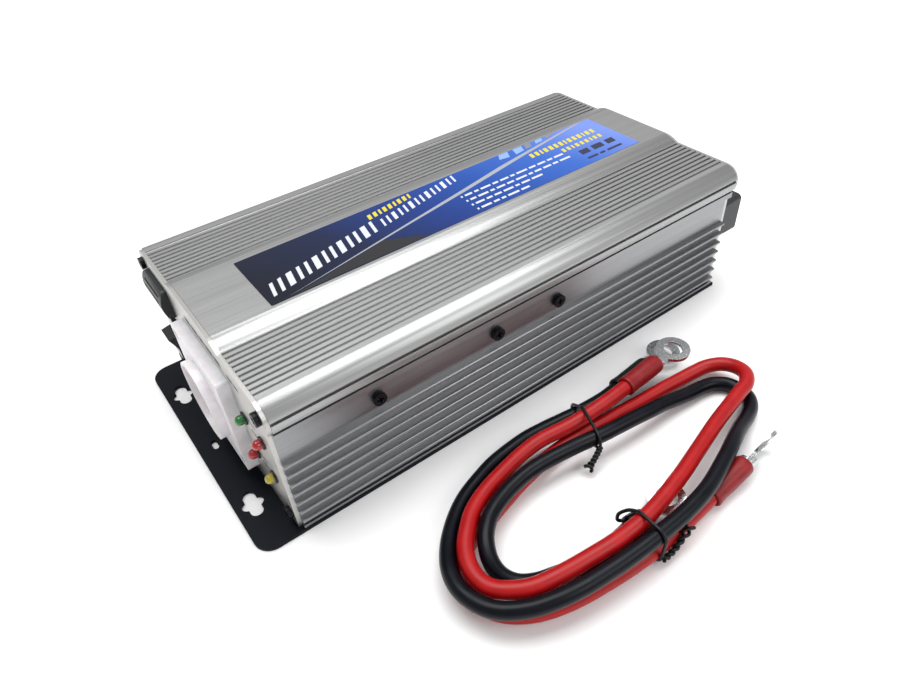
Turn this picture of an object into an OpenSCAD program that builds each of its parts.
// Power inverter in a finned aluminium case, with a loose pair of battery leads beside it.
// X runs along the case from the socket end (-X) to the battery end (+X), Z is up, and
// the origin is under the middle of the inverter, on the surface it stands on.

/* [Case] */
// Length of the two aluminium extrusions
case_l = 298; // [280:1:320]
// Overall width across the cover's rounded edges
case_w = 163; // [158:0.5:170]
// Height of the ribbed part of the cover above the ground
rib_top = 85; // [84:0.5:88]
// Height of the raised strip that carries the label
strip_top = 87.8; // [87:0.1:90]
// Width of the flat of the raised strip
strip_w = 49; // [44:1:52]
// Number of ribs on each side of the raised strip
rib_n = 9; // [5:1:9]
// Spacing of the ribs
rib_pitch = 3.6; // [3:0.1:3.8]
// Number of fins on each side wall
fin_n = 7; // [4:1:7]
// Spacing of the side fins
fin_pitch = 6.75; // [6:0.05:6.8]
// Thickness of the end panels
panel_t = 2; // [1.5:0.1:3]

/* [Base plate] */
// Thickness of the steel base plate
plate_t = 2; // [1.5:0.1:2.5]
// How far the mounting flange reaches past the front panel
flange_out = 21; // [18:1:26]
// Distance between the two crossed mounting slots
slot_gap = 98; // [80:1:110]
// Width of the mounting slots
slot_w = 6.5; // [5:0.1:7]
// Length of the mounting slots across the case
slot_l = 17; // [12:0.5:18]

/* [Socket end] */
// Side of the square socket frame
socket_side = 60; // [54:1:62]
// Sideways place of the socket's middle
socket_y = -7; // [-10:1:-2]
// Height of the socket's middle
socket_z = 40.5; // [38:0.5:44]
// How far the round collar of the socket stands out of the panel
collar_out = 10.5; // [8:0.5:12]
// Sideways place of the rocker switch
switch_y = 42; // [40:0.5:46]
// Height of the rocker switch
switch_z = 44; // [40:0.5:46]
// Swing of the rocker from one stop to the other, in degrees
rocker_swing = 24; // [16:1:24]

/* [Battery end] */
// Width of a terminal housing
terminal_w = 32; // [30:1:34]
// Height of a terminal housing
terminal_h = 25; // [24:0.5:27]
// How far a terminal housing stands out of the rear panel
terminal_out = 15; // [14:0.5:18]
// Turn of the fan rotor at rest, in degrees
rotor_turn = 12; // [0:1:51]

/* [Battery leads] */
// Outer diameter of a battery lead
lead_d = 8; // [6:0.5:8]
// Hole of a ring terminal
ring_hole_d = 10.5; // [8.4:0.1:10.5]

/* [Hidden] */
$fn = 48;

// Places along the case, worked out so that the whole inverter is centred on X = 0
total_l = flange_out + panel_t + case_l + panel_t + terminal_out;
plate_x0 = -total_l / 2;
front_face = plate_x0 + flange_out;
case_x0 = front_face + panel_t;
case_x1 = case_x0 + case_l;
rear_face = case_x1 + panel_t;

// Cross-section of the case
half_w = case_w / 2;
floor_t = 3;
wall_out = 76.5;
wall_t = 3;
wall_in = wall_out - wall_t;
fin_root = 75.2;
fin_tip = 79.5;
fin_t = 1.9;
fin_z0 = 6.9;
split_z = 70;
ledge_z = 66.5;
ledge_y = 80;
skin_t = 2.6;
nose_r = 9.5;
nose_in = 69;
nose_low = 72;
foot_in = 70.3;
tongue_z = 66;
shoulder_r = 19.3;
rib_y0 = 37.8;
groove_w = 1.5;
groove_d = 1.5;
boss_y = 71;
boss_z = 9.5;
boss_r = 4;
nose_screw_y = 73.5;
nose_screw_z = 77;

// Fasteners
m3_r = 1.5;
thread_slack = 0.05;
clear_slack = 0.3;
end_head_r = 3.4;
end_head_h = 2.4;
end_screw_l = 14;
side_screw_r = 2;
side_head_r = 3.6;
side_head_h = 2.7;
side_screw_x = [-95, -25, 16];
side_screw_z = 57;
base_screw_x = [-110, 0, 120];
base_screw_y = 55;

// Mounting flange
flange_corner_r = 9;
slot_x = plate_x0 + 9;
cross_l = 11.5;
tab_slot_w = 3;
tab_slot_l = 7;

// Socket
frame_t = 6;
collar_r = 21.6;
well_r = 19.6;
well_floor = 17.5;
tub_t = 2;
pin_gap = 19;
pin_r = 2.6;
insert_t = 14;
sleeve_r = 3.5;
clip_w = 4.6;
clip_t = 1;
socket_hole_r = 23;
socket_screw_gap = 50;

// Rocker switch
bezel_w = 15;
bezel_h = 21;
bezel_t = 2;
switch_body_w = 13.8;
switch_body_h = 19.6;
switch_body_l = 15;
rocker_w = 12;
rocker_h = 16.4;
rocker_room = 0.3;
rocker_face = 7.6;
pivot_in = 0.5;
pivot_r = 1.2;

// Vent and lamps
cowl_y = 53;
cowl_z = 68.5;
cowl_w = 30;
cowl_h = 18;
cowl_out = 5;
louvre_n = 4;
led_r = 2.5;
led_out = 5;
led_y = [-45, -64];
led_z = [53, 29];
led_places = [[led_y[0], led_z[0]], [led_y[1], led_z[0]], [led_y[0], led_z[1]], [led_y[1], led_z[1]]];
holder_r = 3.4;

// Main board and its parts
board_z = 12;
board_t = 1.6;
board_top = board_z + board_t;
board_x0 = -122;
board_x1 = 118;
board_w = 126;
standoff_x = [-110, -2, 106];
standoff_y = 55;
standoff_r = 3.2;
core_x = [18, 67];
core_l = 40;
core_w = 34;
core_h = 33;
winding_r = 13.5;
cap_r = 8;
cap_h = 31;
cap_x = [58, 78, 98];
cap_y = [28, 46];
bus_cap_r = 15;
bus_cap_h = 46;
choke_r = 15;
choke_tube_r = 6.5;
transistor_w = 10;
transistor_t = 4.4;
transistor_h = 15;
transistor_z0 = 44;
transistor_x = [-84, -72, -60, -48, -36, -14, -2, 28];
pad_t = 0.5;
bar_t = 3;
bar_h = 10;
bar_x0 = -104;
bar_x1 = 36;
fuse_x = 90.6;
fuse_y = [-47.5, -40, -32.5, -25];

// Fan
fan_side = 60;
fan_y = 40;
fan_z = 43;
fan_depth = 25;
fan_bore_r = 28.6;
fan_bolt = 50;
hub_r = 13;
blade_n = 7;
blade_r = 27.8;
blade_t = 1.4;
shaft_r = 1.5;
guard_rings = [7, 14, 21, 28];
wire_r = 0.9;

// Battery terminals
terminal_z = 47.5;
negative_y = -60.5;
positive_y = -23;
terminal_wall = 2.2;
terminal_notch = 15;
stud_r = 5;
nut_flat = 16;
nut_h = 8;
washer_r = 9.8;
washer_t = 2;
earth_y = 0;
earth_z = 15;
earth_r = 2.5;

// Leads: middle lines of the two leads as they lie looped beside the inverter
lead_r = lead_d / 2;
red_route = [
    [36, -117, 14.2], [20, -118.4, 14.2], [2.5, -118.5, 13.4], [-12.5, -117, 12], [-28, -114.4, 10.8],
    [-41, -115, 10.4], [-56, -118, 10.6], [-70, -122, 11.2], [-81.5, -127.5, 12], [-89.8, -134.3, 12.8],
    [-96, -141, 13.2], [-100, -148.5, 13.6], [-101.5, -157, 14], [-99.5, -164.5, 14.6],
    [-93.5, -171, 15.6], [-85, -176, 16.6], [-72.5, -179, 17.4], [-57.5, -181, 17.6], [-42, -182.3, 17.6],
    [-24, -181.6, 17.4], [2, -176.5, 16.4], [24, -170.4, 15], [46.5, -164, 13.8], [62, -160.3, 13],
    [74, -157.6, 12.8], [82.5, -155.6, 12.8], [89, -150.5, 12], [91.2, -143, 10.3], [89, -135.6, 8.4],
    [82.5, -130.5, 6.8], [74, -128.3, 5.6], [64, -126.8, 4.8], [53, -125.6, 4.6], [43, -125, 4.6],
    [33, -124.5, 4.8], [20.5, -123.5, 5.2], [9, -123, 5.6], [-0.5, -122, 5.6], [-13, -121, 4.8],
    [-29, -121.5, 4.3], [-47, -124, 4.2], [-63.5, -128, 4.2], [-75.5, -131.3, 4.2], [-86, -134, 4.2],
    [-94.5, -138, 4.2], [-101, -144.5, 4.2], [-104.5, -152.5, 4.2], [-104.5, -161.5, 4.2],
    [-101, -170, 4.2], [-94, -177, 4.4], [-84.5, -182.4, 4.8], [-71.5, -186.5, 5.4], [-56, -189, 5.6],
    [-41, -190.5, 5.6], [-24, -191, 5.4], [-5, -189.9, 5.4], [8, -188.9, 5.7], [19.5, -188.3, 6.2]
];
black_route = [
    [38, -109.4, 5.8], [22, -110.8, 5.8], [7, -110, 5.6], [-8, -107.5, 5], [-19.5, -105.7, 4.6],
    [-32, -104.8, 4.4], [-51, -106.5, 4.4], [-64.5, -110.3, 5], [-78.5, -116, 6], [-91, -124.6, 7.6],
    [-101, -134.6, 9.8], [-107.7, -145, 12], [-110.3, -155.5, 13.4], [-108.6, -165.5, 14.2],
    [-104, -173.5, 14.8], [-96.5, -179.8, 15.6], [-87, -184.5, 16.4], [-72.5, -188.5, 17.4],
    [-55.5, -190.5, 17.8], [-42.5, -191.3, 17.8], [-28.5, -191.5, 17.7], [-9, -190.8, 17.2],
    [10, -188, 16.6], [29.5, -182, 15.4], [44, -176.6, 13.2], [56, -172, 9.8], [67, -168.6, 6.8],
    [76.5, -164.6, 5], [82.2, -159.2, 4.3], [83.8, -152.5, 4.2], [82.2, -145.6, 4.2], [76.7, -140.4, 4.2],
    [69, -138.2, 4.4], [60, -137.4, 5.2], [50, -136.4, 6.8], [40, -135.6, 8.8], [30, -135.4, 10.4],
    [20.5, -134.8, 11.6], [9, -134, 12.6], [-2, -133, 13.2], [-11, -131.2, 13.2], [-20.5, -129.5, 13.1],
    [-34, -127.7, 13], [-46, -127.2, 13], [-56.5, -128.3, 13], [-66.5, -130.7, 13], [-76.5, -134.8, 13],
    [-83.5, -140.2, 12.8], [-88, -146, 11.8], [-90.5, -152.5, 9.6], [-90, -159, 7], [-86, -165, 5],
    [-79, -169.5, 4.4], [-70, -172.8, 4.8], [-61, -176, 5.6], [-51, -179, 6.5], [-40, -179.5, 6.9]
];
tube_sides = 10;
boot_l = 24;
boot_r = 5.5;
boot_tip_r = 5;
barrel_r = 4.2;
barrel_l = 7;
ring_r = 9.5;
ring_t = 2;
tie_t = 1.3;
tie_corner = 5.5;

// ---------------------------------------------------------------- helpers

// Carries a profile drawn in Y and Z along X, from x0 to x1
module along_x(x0, x1) {
    translate([x0, 0, 0]) rotate([90, 0, 90]) linear_extrude(x1 - x0) children();
}

// Cylinder along X
module rod_x(x0, x1, r, y = 0, z = 0, fn = 48) {
    translate([x0, y, z]) rotate([0, 90, 0]) cylinder(h = x1 - x0, r = r, $fn = fn);
}

// Both sides of a cross-section
module both_sides_2d() {
    children();
    mirror([1, 0]) children();
}

// Box between two corners
module block(a, b) {
    translate(a) cube(b - a);
}

// Rounded rectangle in a plane
module rounded(w, h, r) {
    square([w - 2 * r, h], center = true);
    square([w, h - 2 * r], center = true);
    for (sx = [-1, 1], sy = [-1, 1]) translate([sx * (w / 2 - r), sy * (h / 2 - r)]) circle(r);
}

// Slot in a plane, its length along the second axis
module slot_2d(w, l) {
    square([w, l - w], center = true);
    for (s = [-1, 1]) translate([0, s * (l - w) / 2]) circle(w / 2);
}

// Tube of constant section swept along a list of points
function unit(v) = v / norm(v);
function heading(p, i) = unit(p[min(i + 1, len(p) - 1)] - p[max(i - 1, 0)]);
function side_of(t) = norm(cross(t, [0, 0, 1])) < 0.001 ? [0, -1, 0] : unit(cross(t, [0, 0, 1]));
function ring_points(p, i, r, n) = let (t = heading(p, i), s = side_of(t), u = cross(s, t))
    [for (k = [0 : n - 1]) p[i] + r * cos(360 * k / n) * s + r * sin(360 * k / n) * u];
module swept_tube(p, r, n = tube_sides) {
    last = len(p) - 1;
    points = [for (i = [0 : last]) each ring_points(p, i, r, n)];
    walls = [
        for (i = [0 : last - 1], k = [0 : n - 1]) each [
            [i * n + k, (i + 1) * n + k, i * n + (k + 1) % n],
            [i * n + (k + 1) % n, (i + 1) * n + k, (i + 1) * n + (k + 1) % n]
        ]
    ];
    start = [[for (k = [0 : n - 1]) k]];
    stop = [[for (k = [n - 1 : -1 : 0]) last * n + k]];
    polyhedron(points = points, faces = concat(walls, start, stop), convexity = 10);
}

// Puts something drawn along +X at a point, turned about Z and then tipped
module lay(at, turn, tip = 0, roll = 0) {
    translate(at) rotate([0, -tip, turn]) rotate([roll, 0, 0]) children();
}

// ---------------------------------------------------------------- case

module crossed_slots() {
    slot_2d(slot_w, slot_l);
    rotate(90) slot_2d(slot_w, cross_l);
}

// Steel plate under the case, with a flange past the socket end for mounting screws
module base_plate() {
    color("#1a1f2a") difference() {
        linear_extrude(plate_t) difference() {
            union() {
                translate([front_face, -fin_tip]) square([rear_face - front_face, 2 * fin_tip]);
                translate([plate_x0 + flange_corner_r, -fin_tip]) square([flange_out, 2 * fin_tip]);
                translate([plate_x0, flange_corner_r - fin_tip])
                    square([flange_corner_r, 2 * (fin_tip - flange_corner_r)]);
                for (s = [-1, 1]) translate([plate_x0 + flange_corner_r, s * (fin_tip - flange_corner_r)])
                    circle(flange_corner_r);
            }
            for (s = [-1, 1]) translate([slot_x, s * slot_gap / 2]) crossed_slots();
            translate([slot_x, 0]) slot_2d(tab_slot_w, tab_slot_l);
        }
        for (x = base_screw_x, s = [-1, 1]) translate([x, s * base_screw_y, -1])
            cylinder(h = plate_t + 2, r = m3_r + 1.35);
    }
}

module side_profile_2d() {
    translate([wall_in, plate_t]) square([wall_t, split_z - plate_t]);
    translate([wall_in, ledge_z]) square([ledge_y - wall_in, split_z - ledge_z - 0.2]);
    translate([wall_in, plate_t]) square([fin_tip - wall_in - 0.5, 1.8]);
    for (k = [0 : fin_n - 1]) translate([fin_root - 1, fin_z0 + k * fin_pitch]) {
        translate([0, -fin_t / 2]) square([fin_tip - fin_root + 1 - fin_t / 2, fin_t]);
        translate([fin_tip - fin_root + 1 - fin_t / 2, 0]) circle(fin_t / 2);
    }
    translate([boss_y, boss_z]) circle(boss_r);
    translate([boss_y - boss_r, plate_t]) square([boss_r * 2, boss_z - plate_t]);
}

// Lower extrusion: floor, finned side walls and a screw channel in each bottom corner
module chassis() {
    color("#8b8e92") difference() {
        union() {
            along_x(case_x0, case_x1) {
                translate([-wall_in, plate_t]) square([2 * wall_in, floor_t]);
                both_sides_2d() side_profile_2d();
            }
        }
        for (s = [-1, 1]) {
            for (x = [case_x0 - 1, case_x1 - end_screw_l]) rod_x(x, x + end_screw_l + 1, m3_r, s * boss_y, boss_z);
            for (x = side_screw_x) translate([x, s * (wall_in - 2), side_screw_z]) rotate([-90 * s, 0, 0])
                cylinder(h = wall_t + 4, r = side_screw_r + clear_slack);
            for (x = base_screw_x) translate([x, s * base_screw_y, plate_t - 1])
                cylinder(h = floor_t + 2, r = m3_r + thread_slack);
        }
    }
}

module ribs_2d() {
    for (k = [-1 : rib_n - 1]) translate([rib_y0 + (k + 0.5) * rib_pitch, rib_top]) {
        translate([-groove_w / 2, -groove_d + groove_w / 2]) square([groove_w, groove_d + 1]);
        translate([0, -groove_d + groove_w / 2]) circle(groove_w / 2);
    }
}

module nose_2d() {
    difference() {
        union() {
            translate([nose_in, nose_low]) square([half_w - nose_r - nose_in, rib_top - nose_low]);
            translate([nose_in, nose_low]) square([half_w - nose_in - 0.6, rib_top - nose_r - nose_low]);
            translate([half_w - nose_r, rib_top - nose_r]) circle(nose_r);
        }
        translate([half_w - 2.2, 76.6]) square([4, 1.5]);
        square([half_w, nose_low]);
        square([nose_in, rib_top - skin_t]);
    }
}

module strip_2d() {
    translate([-strip_w / 2, rib_top - 1]) square([strip_w, strip_top - rib_top + 1]);
    for (s = [-1, 1]) intersection() {
        translate([s * strip_w / 2, strip_top - shoulder_r]) circle(shoulder_r);
        translate([-strip_w, rib_top - 1]) square([2 * strip_w, strip_top - rib_top + 2]);
        translate([s * 25 - 25, 0]) square([50, 2 * rib_top]);
    }
}

// Upper extrusion: ribbed lid with a raised strip and thick rounded edges
module top_cover() {
    color("#b5b7b5") difference() {
        along_x(case_x0, case_x1) {
            difference() {
                union() {
                    translate([-nose_in - 1, rib_top - skin_t]) square([2 * nose_in + 2, skin_t]);
                    strip_2d();
                }
                both_sides_2d() ribs_2d();
            }
            both_sides_2d() nose_2d();
            both_sides_2d() {
                translate([foot_in, split_z]) square([wall_out - foot_in, nose_low - split_z + 1]);
                translate([foot_in, tongue_z]) square([wall_in - foot_in - 0.3, split_z - tongue_z + 1]);
            }
        }
        for (s = [-1, 1], x = [case_x0 - 1, case_x1 - end_screw_l])
            rod_x(x, x + end_screw_l + 1, m3_r, s * nose_screw_y, nose_screw_z);
    }
}

// Printed film on the raised strip
module top_label() {
    color("#1c3f9e") translate([case_x0 + 31, -22.5, strip_top]) cube([247, 45, 0.2]);
}

// Points along an arc in a plane, from angle a0 to a1
function arc(c, r, a0, a1, n) = [for (k = [0 : n]) c + r * [cos(a0 + (a1 - a0) * k / n), sin(a0 + (a1 - a0) * k / n)]];

// End panels follow the case's outline, 0.4 mm inside it
module panel_outline() {
    corner = arc([half_w - nose_r - 0.4, rib_top - nose_r], nose_r - 0.4, -40, 90, 13);
    shoulder_z = strip_top - 0.4 - shoulder_r;
    shoulder_a = asin((rib_top - 0.4 - shoulder_z) / shoulder_r);
    half = concat([[wall_out, plate_t + 0.2], [wall_out, corner[0][1]]], corner,
        arc([strip_w / 2, shoulder_z], shoulder_r, shoulder_a, 90, 5));
    polygon(concat(half, [for (i = [len(half) - 1 : -1 : 0]) [-half[i][0], half[i][1]]]));
}

module end_panel_screw_holes() {
    both_sides_2d() translate([nose_screw_y, nose_screw_z]) circle(m3_r + clear_slack);
    both_sides_2d() translate([boss_y, boss_z]) circle(m3_r + clear_slack);
}

// Socket-end panel, cut out for the socket, the switch, the vent and the lamps
module front_panel() {
    color("#b9bbba") along_x(front_face, case_x0) difference() {
        panel_outline();
        end_panel_screw_holes();
        translate([socket_y, socket_z]) circle(socket_hole_r);
        for (s = [-1, 1]) translate([socket_y + s * socket_screw_gap / 2, socket_z + s * socket_screw_gap / 2])
            circle(m3_r + thread_slack);
        translate([switch_y, switch_z]) square([switch_body_w + 0.4, switch_body_h + 0.4], center = true);
        translate([cowl_y, cowl_z]) square([cowl_w - 8, cowl_h - 8], center = true);
        for (p = led_places) translate(p) circle(holder_r - 0.6);
    }
}

// Battery-end panel, cut out for the fan and the two terminals
module rear_panel() {
    color("#b9bbba") along_x(case_x1, rear_face) difference() {
        panel_outline();
        end_panel_screw_holes();
        translate([fan_y, fan_z]) circle(fan_bore_r);
        for (sy = [-1, 1], sz = [-1, 1]) translate([fan_y + sy * fan_bolt / 2, fan_z + sz * fan_bolt / 2])
            circle(m3_r + clear_slack);
        for (y = [negative_y, positive_y]) translate([y, terminal_z]) circle(stud_r + 3);
        translate([earth_y, earth_z]) circle(earth_r + 0.1);
    }
}

// Pan-head screw along +X, its head starting at x = 0 and its shank behind
module pan_screw(head_r, head_h, shank_r, shank_l) {
    difference() {
        union() {
            rotate([0, -90, 0]) cylinder(h = head_h, r = head_r);
            rod_x(0, shank_l, shank_r);
        }
        for (a = [0, 90]) rotate([a, 0, 0]) translate([-head_h - 1, -head_r * 0.55, -0.5])
            cube([head_h * 0.5 + 1, head_r * 1.1, 1]);
    }
}

module end_screws() {
    for (s = [-1, 1], p = [[nose_screw_y, nose_screw_z], [boss_y, boss_z]]) translate([0, s * p[0], p[1]])
        pan_screw(end_head_r, end_head_h, m3_r - thread_slack, end_screw_l - 3);
}

// Black screws that hold the socket-end panel
module front_panel_screws() {
    color("#15171c") translate([front_face, 0, 0]) end_screws();
}

// Black screws that hold the battery-end panel
module rear_panel_screws() {
    color("#15171c") translate([rear_face, 0, 0]) rotate([0, 0, 180]) end_screws();
}

// Black screws in the plain band of each side, which pull the clamp bars outwards
module side_screws() {
    color("#15171c") for (s = [-1, 1], x = side_screw_x) translate([x, s * wall_out, side_screw_z])
        rotate([0, 0, s * -90])
            pan_screw(side_head_r, side_head_h, side_screw_r - thread_slack, wall_t + pad_t + transistor_t + bar_t);
}

// Screws that hold the chassis to the base plate, their heads flush inside the plate
module base_screws() {
    color("#3a3d42") for (x = base_screw_x, s = [-1, 1]) translate([x, s * base_screw_y, 0.3]) {
        cylinder(h = plate_t - 0.3, r = m3_r + 1.3);
        cylinder(h = plate_t + floor_t - 0.6, r = m3_r);
    }
}

// ---------------------------------------------------------------- socket end

// White frame, round collar and tub of the earthed two-pin socket
module socket_housing() {
    x_face = front_face - frame_t;
    x_collar = front_face - collar_out;
    x_floor = x_collar + well_floor;
    color("#dcd9dc") difference() {
        union() {
            along_x(x_face, front_face) translate([socket_y, socket_z]) rounded(socket_side, socket_side, 2);
            rod_x(x_collar, front_face, collar_r, socket_y, socket_z);
            rod_x(front_face - 1, x_floor + tub_t, collar_r, socket_y, socket_z);
        }
        rod_x(x_collar - 1, x_floor, well_r, socket_y, socket_z);
        rod_x(x_floor - 1, x_floor + tub_t + 1, well_r - 3, socket_y, socket_z);
        for (s = [-1, 1])
            translate([x_face, socket_y + s * socket_screw_gap / 2, socket_z + s * socket_screw_gap / 2]) {
                rod_x(-1, frame_t + 1, m3_r + clear_slack);
                translate([-0.01, 0, 0]) rotate([0, 90, 0]) cylinder(h = 1.9, r1 = 3.2, r2 = m3_r + clear_slack);
            }
    }
}

// Moulded insert with the two pin holes, behind the floor of the well
module socket_insert() {
    x_floor = front_face - collar_out + well_floor;
    color("#cfccd0") difference() {
        union() {
            rod_x(x_floor - 2.5, x_floor, well_r - 0.05, socket_y, socket_z);
            rod_x(x_floor, x_floor + tub_t + insert_t, well_r - 3.05, socket_y, socket_z);
        }
        for (s = [-1, 1]) {
            rod_x(x_floor - 4, x_floor + 1, pin_r, socket_y + s * pin_gap / 2, socket_z);
            rod_x(x_floor, x_floor + tub_t + insert_t + 1, sleeve_r, socket_y + s * pin_gap / 2, socket_z);
            translate([x_floor - 4, socket_y, socket_z + s * (well_r - 0.8)])
                cube([8, clip_w + 0.6, 4], center = true);
        }
    }
}

// Sprung earth contacts at the top and bottom of the well
module earth_clips() {
    x_floor = front_face - collar_out + well_floor;
    color("#c9a94a") for (s = [-1, 1]) translate([0, socket_y - clip_w / 2, socket_z]) mirror([0, 0, s > 0 ? 0 : 1]) {
        translate([x_floor - 13, 0, well_r - 1.5]) cube([9.2, clip_w, clip_t]);
        translate([x_floor - 13, 0, well_r - 2.6]) cube([2.5, clip_w, 1.1]);
    }
}

// Brass sleeves that grip the plug's pins
module contact_sleeves() {
    x_floor = front_face - collar_out + well_floor;
    color("#c9a94a") for (s = [-1, 1]) difference() {
        rod_x(x_floor + 1, x_floor + tub_t + insert_t + 4, sleeve_r - 0.05, socket_y + s * pin_gap / 2, socket_z);
        rod_x(x_floor, x_floor + tub_t + insert_t, pin_r - 0.15, socket_y + s * pin_gap / 2, socket_z);
    }
}

// Countersunk screws in two corners of the socket frame
module socket_screws() {
    x0 = front_face - frame_t + 0.2;
    color("#c8c8c8") for (s = [-1, 1])
        translate([x0, socket_y + s * socket_screw_gap / 2, socket_z + s * socket_screw_gap / 2]) difference() {
            union() {
                rotate([0, 90, 0]) cylinder(h = 1.6, r1 = 2.9, r2 = m3_r);
                rod_x(0, frame_t + panel_t + 2, m3_r);
            }
            translate([-0.5, -2, -0.35]) cube([1.2, 4, 0.7]);
        }
}

// Moulded body and bezel of the rocker switch
module switch_body() {
    color("#14161a") difference() {
        union() {
            along_x(front_face - bezel_t, front_face) translate([switch_y, switch_z]) rounded(bezel_w, bezel_h, 1.5);
            translate([front_face - 0.5, switch_y - switch_body_w / 2, switch_z - switch_body_h / 2])
                cube([switch_body_l + 0.5, switch_body_w, switch_body_h]);
        }
        translate([front_face - bezel_t - 1, switch_y - rocker_w / 2 - rocker_room, switch_z - 9.3])
            cube([bezel_t + 9, rocker_w + 2 * rocker_room, 18.6]);
        translate([front_face + pivot_in, switch_y + bezel_w / 2, switch_z]) rotate([90, 0, 0])
            cylinder(h = bezel_w, r = pivot_r + 0.06);
    }
}

// Rocker, resting with its upper end out
module power_rocker() {
    color("#101216") translate([front_face + pivot_in, switch_y, switch_z]) {
        rotate([0, -rocker_swing / 2, 0]) translate([0, rocker_w / 2, 0]) rotate([90, 0, 0]) linear_extrude(rocker_w)
            polygon([[3.5, -4], [3.5, 4], [0, rocker_h / 2], [-rocker_face, rocker_h / 2],
                [-rocker_face + 1.5, 0], [-rocker_face, -rocker_h / 2], [0, -rocker_h / 2]]);
        translate([0, switch_body_w / 2 - 0.3, 0]) rotate([90, 0, 0]) cylinder(h = switch_body_w - 0.6, r = pivot_r);
    }
}

// Louvred cowl over the vent slot
module vent_cowl() {
    color("#15171c") difference() {
        union() {
            intersection() {
                along_x(front_face - cowl_out, front_face) translate([cowl_y, cowl_z]) rounded(cowl_w, cowl_h, 3);
                translate([front_face + 11, cowl_y + cowl_w, cowl_z]) rotate([90, 0, 0])
                    cylinder(h = 2 * cowl_w, r = 16);
            }
            translate([front_face - 1, cowl_y - cowl_w / 2 + 4.2, cowl_z - cowl_h / 2 + 4.2])
                cube([panel_t + 2, cowl_w - 8.4, cowl_h - 8.4]);
        }
        translate([front_face - cowl_out + 2, cowl_y - cowl_w / 2 + 6, cowl_z - cowl_h / 2 + 6])
            cube([cowl_out + panel_t, cowl_w - 12, cowl_h - 12]);
        for (k = [0 : louvre_n - 1]) translate([front_face - cowl_out - 1, cowl_y - cowl_w / 2 + 4, cowl_z - 5.6 + k * 3.4])
            cube([3.4, cowl_w - 8, 1.2]);
    }
}

module lamp(p, tint) {
    color(tint) translate([front_face, p[0], p[1]]) {
        rod_x(-led_out + led_r, 3, led_r);
        translate([-led_out + led_r, 0, 0]) sphere(led_r);
    }
}

// Green lamp: output on
module led_green() {
    lamp(led_places[0], "#2f8a3c");
}

// Red lamps: overload and low battery
module leds_red() {
    lamp(led_places[1], "#b3141c");
    lamp(led_places[2], "#b3141c");
}

// Yellow lamp: which battery voltage was found
module led_yellow() {
    lamp(led_places[3], "#b9a81e");
}

// Black clip-in holders of the lamps
module led_holders() {
    color("#15171c") for (p = led_places) translate([front_face, p[0], p[1]]) difference() {
        union() {
            rod_x(-1, 0, holder_r);
            rod_x(-0.5, panel_t + 2, holder_r - 0.65);
        }
        rod_x(-2, panel_t + 3, led_r + 0.05);
    }
}

// ---------------------------------------------------------------- electronics inside

// Glass-fibre circuit board
module main_board() {
    color("#2f6b3a") difference() {
        block([board_x0, -board_w / 2, board_z], [board_x1, board_w / 2, board_top]);
        for (x = standoff_x, s = [-1, 1]) translate([x, s * standoff_y, board_z - 1])
            cylinder(h = board_t + 2, r = m3_r + clear_slack);
    }
}

// Pillars between the chassis floor and the board
module board_standoffs() {
    color("#c8b46a") for (x = standoff_x, s = [-1, 1]) translate([x, s * standoff_y, plate_t + floor_t]) difference() {
        cylinder(h = board_z - plate_t - floor_t, r = standoff_r);
        translate([0, 0, 1]) cylinder(h = board_z, r = m3_r + thread_slack);
    }
}

// Screws through the board into the pillars
module board_screws() {
    color("#b8bcc0") for (x = standoff_x, s = [-1, 1]) translate([x, s * standoff_y, board_top]) {
        cylinder(h = 2.2, r = 2.8);
        translate([0, 0, -board_t - 3.5]) cylinder(h = board_t + 4, r = m3_r);
    }
}

// Ferrite cores of the two high-frequency transformers
module transformer_cores() {
    color("#3b3d40") for (x = core_x) translate([x - core_l / 2, -core_w / 2 - 8, board_top]) difference() {
        cube([core_l, core_w, core_h]);
        translate([-1, 5, 6]) cube([core_l + 2, core_w - 10, core_h - 12]);
    }
}

// Copper windings inside the cores
module transformer_windings() {
    color("#b0713a") for (x = core_x) translate([x - core_l / 2 - 4, -8, board_top + core_h / 2])
        intersection() {
            rod_x(0, core_l + 8, winding_r);
            translate([-1, -core_w / 2 + 5.3, -core_h / 2 + 6.3]) cube([core_l + 10, core_w - 10.6, core_h - 12.6]);
        }
}

module can(r, h) {
    difference() {
        union() {
            cylinder(h = h, r = r);
            translate([0, 0, h - 0.5]) cylinder(h = 0.7, r = r - 0.9);
        }
        translate([0, 0, 3.2]) rotate_extrude() translate([r + 0.5, 0]) circle(0.9);
    }
}

// Capacitors across the battery input
module input_capacitors() {
    color("#22252c") for (x = cap_x, y = cap_y) translate([x, y, board_top]) can(cap_r, cap_h);
}

// Large high-voltage capacitor
module bus_capacitor() {
    color("#22252c") translate([-24, 30, board_top]) can(bus_cap_r, bus_cap_h);
}

// Ring core choke of the output filter
module output_choke() {
    color("#a5652c") translate([-92, 26, board_top + choke_tube_r]) rotate_extrude()
        translate([choke_r, 0]) circle(choke_tube_r);
}

// Flat power transistors against both side walls
module power_transistors() {
    color("#25272b") for (s = [-1, 1], x = transistor_x) translate([x, s * (wall_in - pad_t - transistor_t / 2), 0]) {
        translate([-transistor_w / 2, -transistor_t / 2, transistor_z0]) cube([transistor_w, transistor_t, transistor_h]);
        for (k = [-1, 0, 1]) translate([k * 2.54 - 0.4, -0.25, transistor_z0 - 12]) cube([0.8, 0.5, 12]);
    }
}

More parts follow.
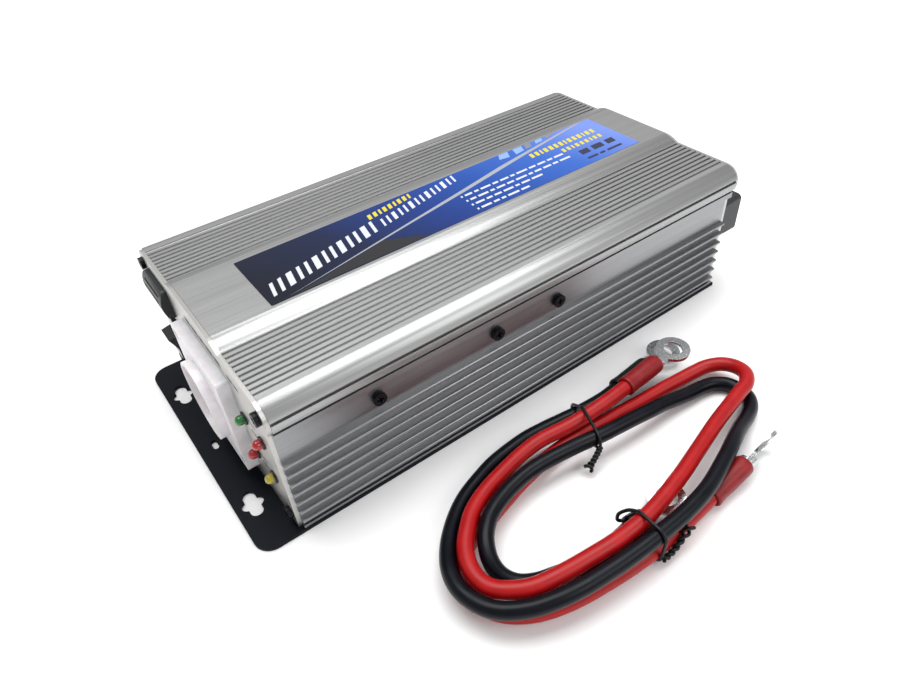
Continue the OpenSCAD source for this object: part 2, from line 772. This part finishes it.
// Insulating pads between the transistors and the walls
module insulating_pads() {
    color("#9aa3a8") for (s = [-1, 1]) difference() {
        translate([bar_x0, s * (wall_in - pad_t / 2) - pad_t / 2 + 0.01, transistor_z0 - 1])
            cube([bar_x1 - bar_x0, pad_t - 0.02, transistor_h + 3]);
        for (x = side_screw_x) translate([x, s * wall_in - 3, side_screw_z]) rotate([-90, 0, 0])
            cylinder(h = 6, r = side_screw_r + clear_slack);
    }
}

// Steel bars that the side screws draw against the transistors
module clamp_bars() {
    color("#8d9298") for (s = [-1, 1]) difference() {
        translate([bar_x0, s * (wall_in - pad_t - transistor_t - bar_t / 2) - bar_t / 2, side_screw_z - bar_h / 2])
            cube([bar_x1 - bar_x0, bar_t, bar_h]);
        for (x = side_screw_x) translate([x, s * 68 - 8, side_screw_z]) rotate([-90, 0, 0])
            cylinder(h = 16, r = side_screw_r);
    }
}

// Plug-in holders of the battery fuses
module fuse_holders() {
    color("#1d1f24") for (y = fuse_y) translate([fuse_x, y - 3.4, board_top]) difference() {
        cube([22, 6.8, 8]);
        translate([1.4, 1.1, 1.5]) cube([19.2, 4.6, 7]);
    }
}

// Blade fuses
module blade_fuses() {
    color("#d8722a") for (y = fuse_y) translate([fuse_x + 1.6, y - 2.1, board_top + 1.8]) {
        cube([18.8, 4.2, 10]);
        translate([1, 0.4, 10]) cube([16.8, 3.4, 4]);
    }
}

// Alarm buzzer
module buzzer() {
    color("#15171c") translate([-96, -20, board_top]) difference() {
        cylinder(h = 9.5, r = 7);
        translate([0, 0, 6]) cylinder(h = 5, r = 1.4);
    }
}

// Copper bars from the terminal studs down to the board
module busbars() {
    color("#b8703c") for (y = [negative_y, positive_y]) difference() {
        union() {
            block([board_x1 - 5, y - 7, board_top], [case_x1 - 14, y + 7, board_top + 2]);
            block([case_x1 - 16, y - 7, board_top], [case_x1 - 14, y + 7, terminal_z + 8]);
        }
        rod_x(case_x1 - 20, case_x1 - 10, stud_r + 0.1, y, terminal_z);
    }
}

// Three wires from the board to the socket
module ac_wires() {
    x_end = front_face - collar_out + well_floor + tub_t + insert_t + 4;
    color("#7a4a2a") for (k = [-1, 0, 1]) {
        y0 = socket_y + k * pin_gap / 2;
        z0 = socket_z - (k == 0 ? 12 : 0);
        swept_tube([[x_end + 0.2, y0, z0], [x_end + 3, y0, z0 - 1], [x_end + 5.5, y0, z0 - 6],
            [x_end + 6, y0, board_top + 5], [x_end + 6, y0, board_top + 0.2]], 1.4, 8);
    }
}

// ---------------------------------------------------------------- battery end

module fan_bolts_2d(r) {
    for (sy = [-1, 1], sz = [-1, 1]) translate([sy * fan_bolt / 2, sz * fan_bolt / 2]) circle(r);
}

// Fan frame: two square flanges joined by a thin duct and four posts, with a motor mount on struts
module fan_frame() {
    x0 = case_x1 - fan_depth;
    strut_t = 2.5;
    flange_t = 4;
    color("#17191d") translate([0, fan_y, fan_z]) difference() {
        union() {
            along_x(x0, x0 + strut_t) difference() {
                rounded(fan_side, fan_side, 4);
                difference() {
                    circle(fan_bore_r);
                    circle(hub_r);
                    for (a = [45, 135]) rotate(a) square([3, 2 * fan_bore_r + 2], center = true);
                }
            }
            along_x(x0 + strut_t, x0 + flange_t) difference() {
                rounded(fan_side, fan_side, 4);
                circle(fan_bore_r);
            }
            along_x(x0 + flange_t, case_x1 - flange_t) {
                fan_bolts_2d(4);
                difference() {
                    circle(fan_bore_r + 1);
                    circle(fan_bore_r);
                }
            }
            along_x(case_x1 - flange_t, case_x1) difference() {
                rounded(fan_side, fan_side, 4);
                circle(fan_bore_r);
            }
            rod_x(x0 + strut_t, x0 + 16, shaft_r + 2);
        }
        rod_x(x0 + strut_t + 0.5, x0 + 17, shaft_r + 0.05);
        along_x(x0 - 1, case_x1 + 1) fan_bolts_2d(m3_r + 0.1);
    }
}

// Seven-bladed rotor on its shaft
module fan_rotor() {
    x0 = case_x1 - fan_depth + 3.3;
    x1 = case_x1 - 2;
    color("#1d2025") translate([0, fan_y, fan_z]) rotate([rotor_turn, 0, 0]) {
        difference() {
            rod_x(x0, x1, hub_r);
            rod_x(x0 - 1, x1 - 2, hub_r - 1.5);
        }
        rod_x(x0 + 1.5, x1 - 1, shaft_r);
        intersection() {
            for (k = [0 : blade_n - 1]) rotate([k * 360 / blade_n, 0, 0])
                translate([(x0 + x1) / 2, 0, hub_r - 1]) rotate([0, 0, 42]) translate([-15, -blade_t / 2, 0])
                    cube([30, blade_t, blade_r]);
            difference() {
                rod_x(x0 + 1, x1 - 0.5, blade_r);
                rod_x(x0, x1 + 1, hub_r - 1);
            }
        }
    }
}

// Wire guard over the fan
module fan_guard() {
    color("#b9bcc0") translate([rear_face, fan_y, fan_z]) {
        for (r = guard_rings) rotate([0, 90, 0]) rotate_extrude() translate([r, wire_r + 0.9]) circle(wire_r);
        for (a = [45 : 90 : 315]) rotate([a, 0, 0]) {
            translate([wire_r + 1.9, 0, guard_rings[0]]) cylinder(h = fan_bolt * sqrt(0.5) - guard_rings[0] - 3.3, r = wire_r);
            translate([0, 0, fan_bolt * sqrt(0.5)]) difference() {
                rod_x(0, 3, 4);
                rod_x(-1, 4, m3_r + 0.1);
            }
        }
    }
}

// Screws through the guard and the panel into the fan frame
module fan_screws() {
    color("#b8bcc0") for (sy = [-1, 1], sz = [-1, 1])
        translate([rear_face + 3, fan_y + sy * fan_bolt / 2, fan_z + sz * fan_bolt / 2]) rotate([0, 0, 180])
            pan_screw(2.9, 2.2, m3_r, 26);
}

module terminal(y) {
    difference() {
        union() {
            along_x(rear_face, rear_face + terminal_out) translate([y, terminal_z]) rounded(terminal_w, terminal_h, 3);
            rod_x(case_x1 - 3, rear_face + 1, stud_r + 2.9, y, terminal_z);
        }
        along_x(rear_face + 3, rear_face + terminal_out + 1) translate([y, terminal_z])
            rounded(terminal_w - 2 * terminal_wall, terminal_h - 2 * terminal_wall, 1.5);
        block([rear_face + 3, y - terminal_notch / 2, terminal_z - terminal_h / 2 - 1],
            [rear_face + terminal_out + 1, y + terminal_notch / 2, terminal_z - terminal_h / 2 + terminal_wall + 1]);
        rod_x(case_x1 - 4, rear_face + 4, stud_r + 0.05, y, terminal_z);
    }
}

// Black moulded housing around the negative stud, open towards the lead
module negative_terminal() {
    color("#16181d") terminal(negative_y);
}

// Red moulded housing around the positive stud
module positive_terminal() {
    color("#a3161c") terminal(positive_y);
}

module stud(y) {
    translate([0, y, terminal_z]) {
        rod_x(case_x1 - 18, rear_face + 14, stud_r);
        difference() {
            rod_x(rear_face + 3.05, rear_face + 3.05 + washer_t, washer_r);
            rod_x(rear_face + 2, rear_face + 7, stud_r - 0.5);
        }
        difference() {
            rod_x(case_x1 - 14 + 0.05, case_x1 - 9, 8, 0, 0, 6);
            rod_x(case_x1 - 15, case_x1 - 8, stud_r - 0.5);
        }
    }
}

// Brass stud of the negative terminal, with its washer and inner lock nut
module negative_stud() {
    color("#c9a94a") stud(negative_y);
}

// Brass stud of the positive terminal, with its washer and inner lock nut
module positive_stud() {
    color("#c9a94a") stud(positive_y);
}

module terminal_nut(y) {
    translate([0, y, terminal_z]) difference() {
        rod_x(rear_face + 5.3, rear_face + 5.3 + nut_h, nut_flat / sqrt(3), 0, 0, 6);
        rod_x(rear_face + 5, rear_face + 6 + nut_h, stud_r + 0.08);
    }
}

// Hexagon nut on the negative stud
module negative_nut() {
    color("#c2c5c8") terminal_nut(negative_y);
}

// Hexagon nut on the positive stud
module positive_nut() {
    color("#c2c5c8") terminal_nut(positive_y);
}

// Earthing screw with its washer and nut
module earth_stud() {
    color("#c9a94a") translate([0, earth_y, earth_z]) {
        rod_x(case_x1 - 3, rear_face + 12, earth_r);
        rod_x(case_x1 - 3, case_x1, 4.5, 0, 0, 6);
        rod_x(rear_face, rear_face + 1, 5);
        rod_x(rear_face + 1, rear_face + 4.5, 4.6, 0, 0, 6);
    }
}

// ---------------------------------------------------------------- battery leads

// Red lead, looped twice beside the inverter
module red_lead() {
    color("#b5141c") swept_tube(red_route, lead_r);
}

// Black lead, looped with the red one
module black_lead() {
    color("#14161c") swept_tube(black_route, lead_r);
}

// Where each lead ends: the point, the turn about Z, the tip upwards and the roll of the ring terminal
red_ends = [[red_route[0], 5, 0, 0], [red_route[len(red_route) - 1], 3, 6, -76]];
black_ends = [[black_route[0], 5, 0, 0], [black_route[len(black_route) - 1], 5, 0, 0]];

module boots(ends) {
    for (e = ends) lay(e[0], e[1], e[2]) difference() {
        union() {
            rod_x(-6, boot_l - 7, boot_r);
            translate([boot_l - 7, 0, 0]) rotate([0, 90, 0]) cylinder(h = 4, r1 = boot_r, r2 = boot_tip_r);
        }
        rod_x(-7, 0.2, lead_r + 0.4);
        rod_x(0.1, boot_l, barrel_r + 0.05);
    }
}

// Red sleeves over the crimped ends of the red lead
module red_boots() {
    color("#8f1218") boots(red_ends);
}

// Black sleeves over the crimped ends of the black lead
module black_boots() {
    color("#17191e") boots(black_ends);
}

module ring_terminals(ends) {
    x_ring = boot_l - 3 + barrel_l + ring_r - 1;
    for (e = ends) lay(e[0], e[1], e[2], e[3]) difference() {
        union() {
            rod_x(0.3, boot_l - 3 + barrel_l * 0.6, barrel_r);
            translate([boot_l - 4, -barrel_r + 0.6, -ring_t / 2]) cube([barrel_l + 5, 2 * barrel_r - 1.2, ring_t]);
            translate([x_ring, 0, -ring_t / 2]) cylinder(h = ring_t, r = ring_r);
        }
        translate([x_ring, 0, -ring_t]) cylinder(h = 2 * ring_t, r = ring_hole_d / 2);
        translate([boot_l - 3 + barrel_l * 0.2, -barrel_r - 1, ring_t / 2]) cube([barrel_l, 2 * barrel_r + 2, barrel_r + 1]);
    }
}

// Tinned ring terminals of the red lead
module red_ring_terminals() {
    color("#c4c7ca") ring_terminals(red_ends);
}

// Tinned ring terminals of the black lead
module black_ring_terminals() {
    color("#c4c7ca") ring_terminals(black_ends);
}

// Twisted wire ties: middle of each loop, its width across the bundle and its height
tie_loops = [
    [[-2, -120.8], 34.8, 19],
    [[-22, -183.6], 26.4, 23.4]
];

// Twisted wire ties around the bundle
module cable_ties() {
    color("#101114") for (t = tie_loops) translate([0, 0, 0.05 + t[2] / 2])
        along_x(t[0][0] - tie_t / 2, t[0][0] + tie_t / 2) translate([t[0][1], 0]) difference() {
            rounded(t[1], t[2], tie_corner);
            rounded(t[1] - 2 * tie_t, t[2] - 2 * tie_t, tie_corner - tie_t);
        }
}

base_plate();
chassis();
top_cover();
top_label();
front_panel();
rear_panel();
front_panel_screws();
rear_panel_screws();
side_screws();
base_screws();
socket_housing();
socket_insert();
earth_clips();
contact_sleeves();
socket_screws();
switch_body();
power_rocker();
vent_cowl();
led_green();
leds_red();
led_yellow();
led_holders();
main_board();
board_standoffs();
board_screws();
transformer_cores();
transformer_windings();
input_capacitors();
bus_capacitor();
output_choke();
power_transistors();
insulating_pads();
clamp_bars();
fuse_holders();
blade_fuses();
buzzer();
busbars();
ac_wires();
fan_frame();
fan_rotor();
fan_guard();
fan_screws();
negative_terminal();
positive_terminal();
negative_stud();
positive_stud();
negative_nut();
positive_nut();
earth_stud();
red_lead();
black_lead();
red_boots();
black_boots();
red_ring_terminals();
black_ring_terminals();
cable_ties();
